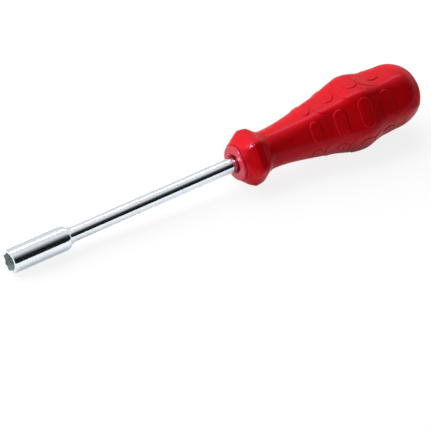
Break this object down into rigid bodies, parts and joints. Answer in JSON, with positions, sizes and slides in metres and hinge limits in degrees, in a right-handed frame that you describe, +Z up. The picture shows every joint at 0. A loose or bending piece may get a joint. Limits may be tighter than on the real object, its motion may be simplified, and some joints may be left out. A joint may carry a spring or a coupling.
{
  "type": "nut driver",
  "caption": "Nut driver: a deep hexagon socket head on a round chromed shaft, with a moulded, faceted grip handle that has a finger collar and raised pads.",
  "frame": {"origin": "centre of the socket mouth, in the plane of its flat front rim", "axes": "+X runs along the tool axis from the socket mouth to the handle, +Z is up, square to one pair of grip facets"},
  "size_m": [0.2238, 0.0356, 0.033],
  "materials": {
    "socket_chrome": "polished chrome plate",
    "shaft_chrome": "polished chrome plate",
    "core_plastic": "moulded, satin to glossy",
    "grip_plastic": "moulded, satin to glossy"
  },
  "bodies": {
    "root": {"socket": "socket_chrome", "shaft": "shaft_chrome", "handle_core": "core_plastic", "grip": "grip_plastic"}
  },
  "joints": []
}
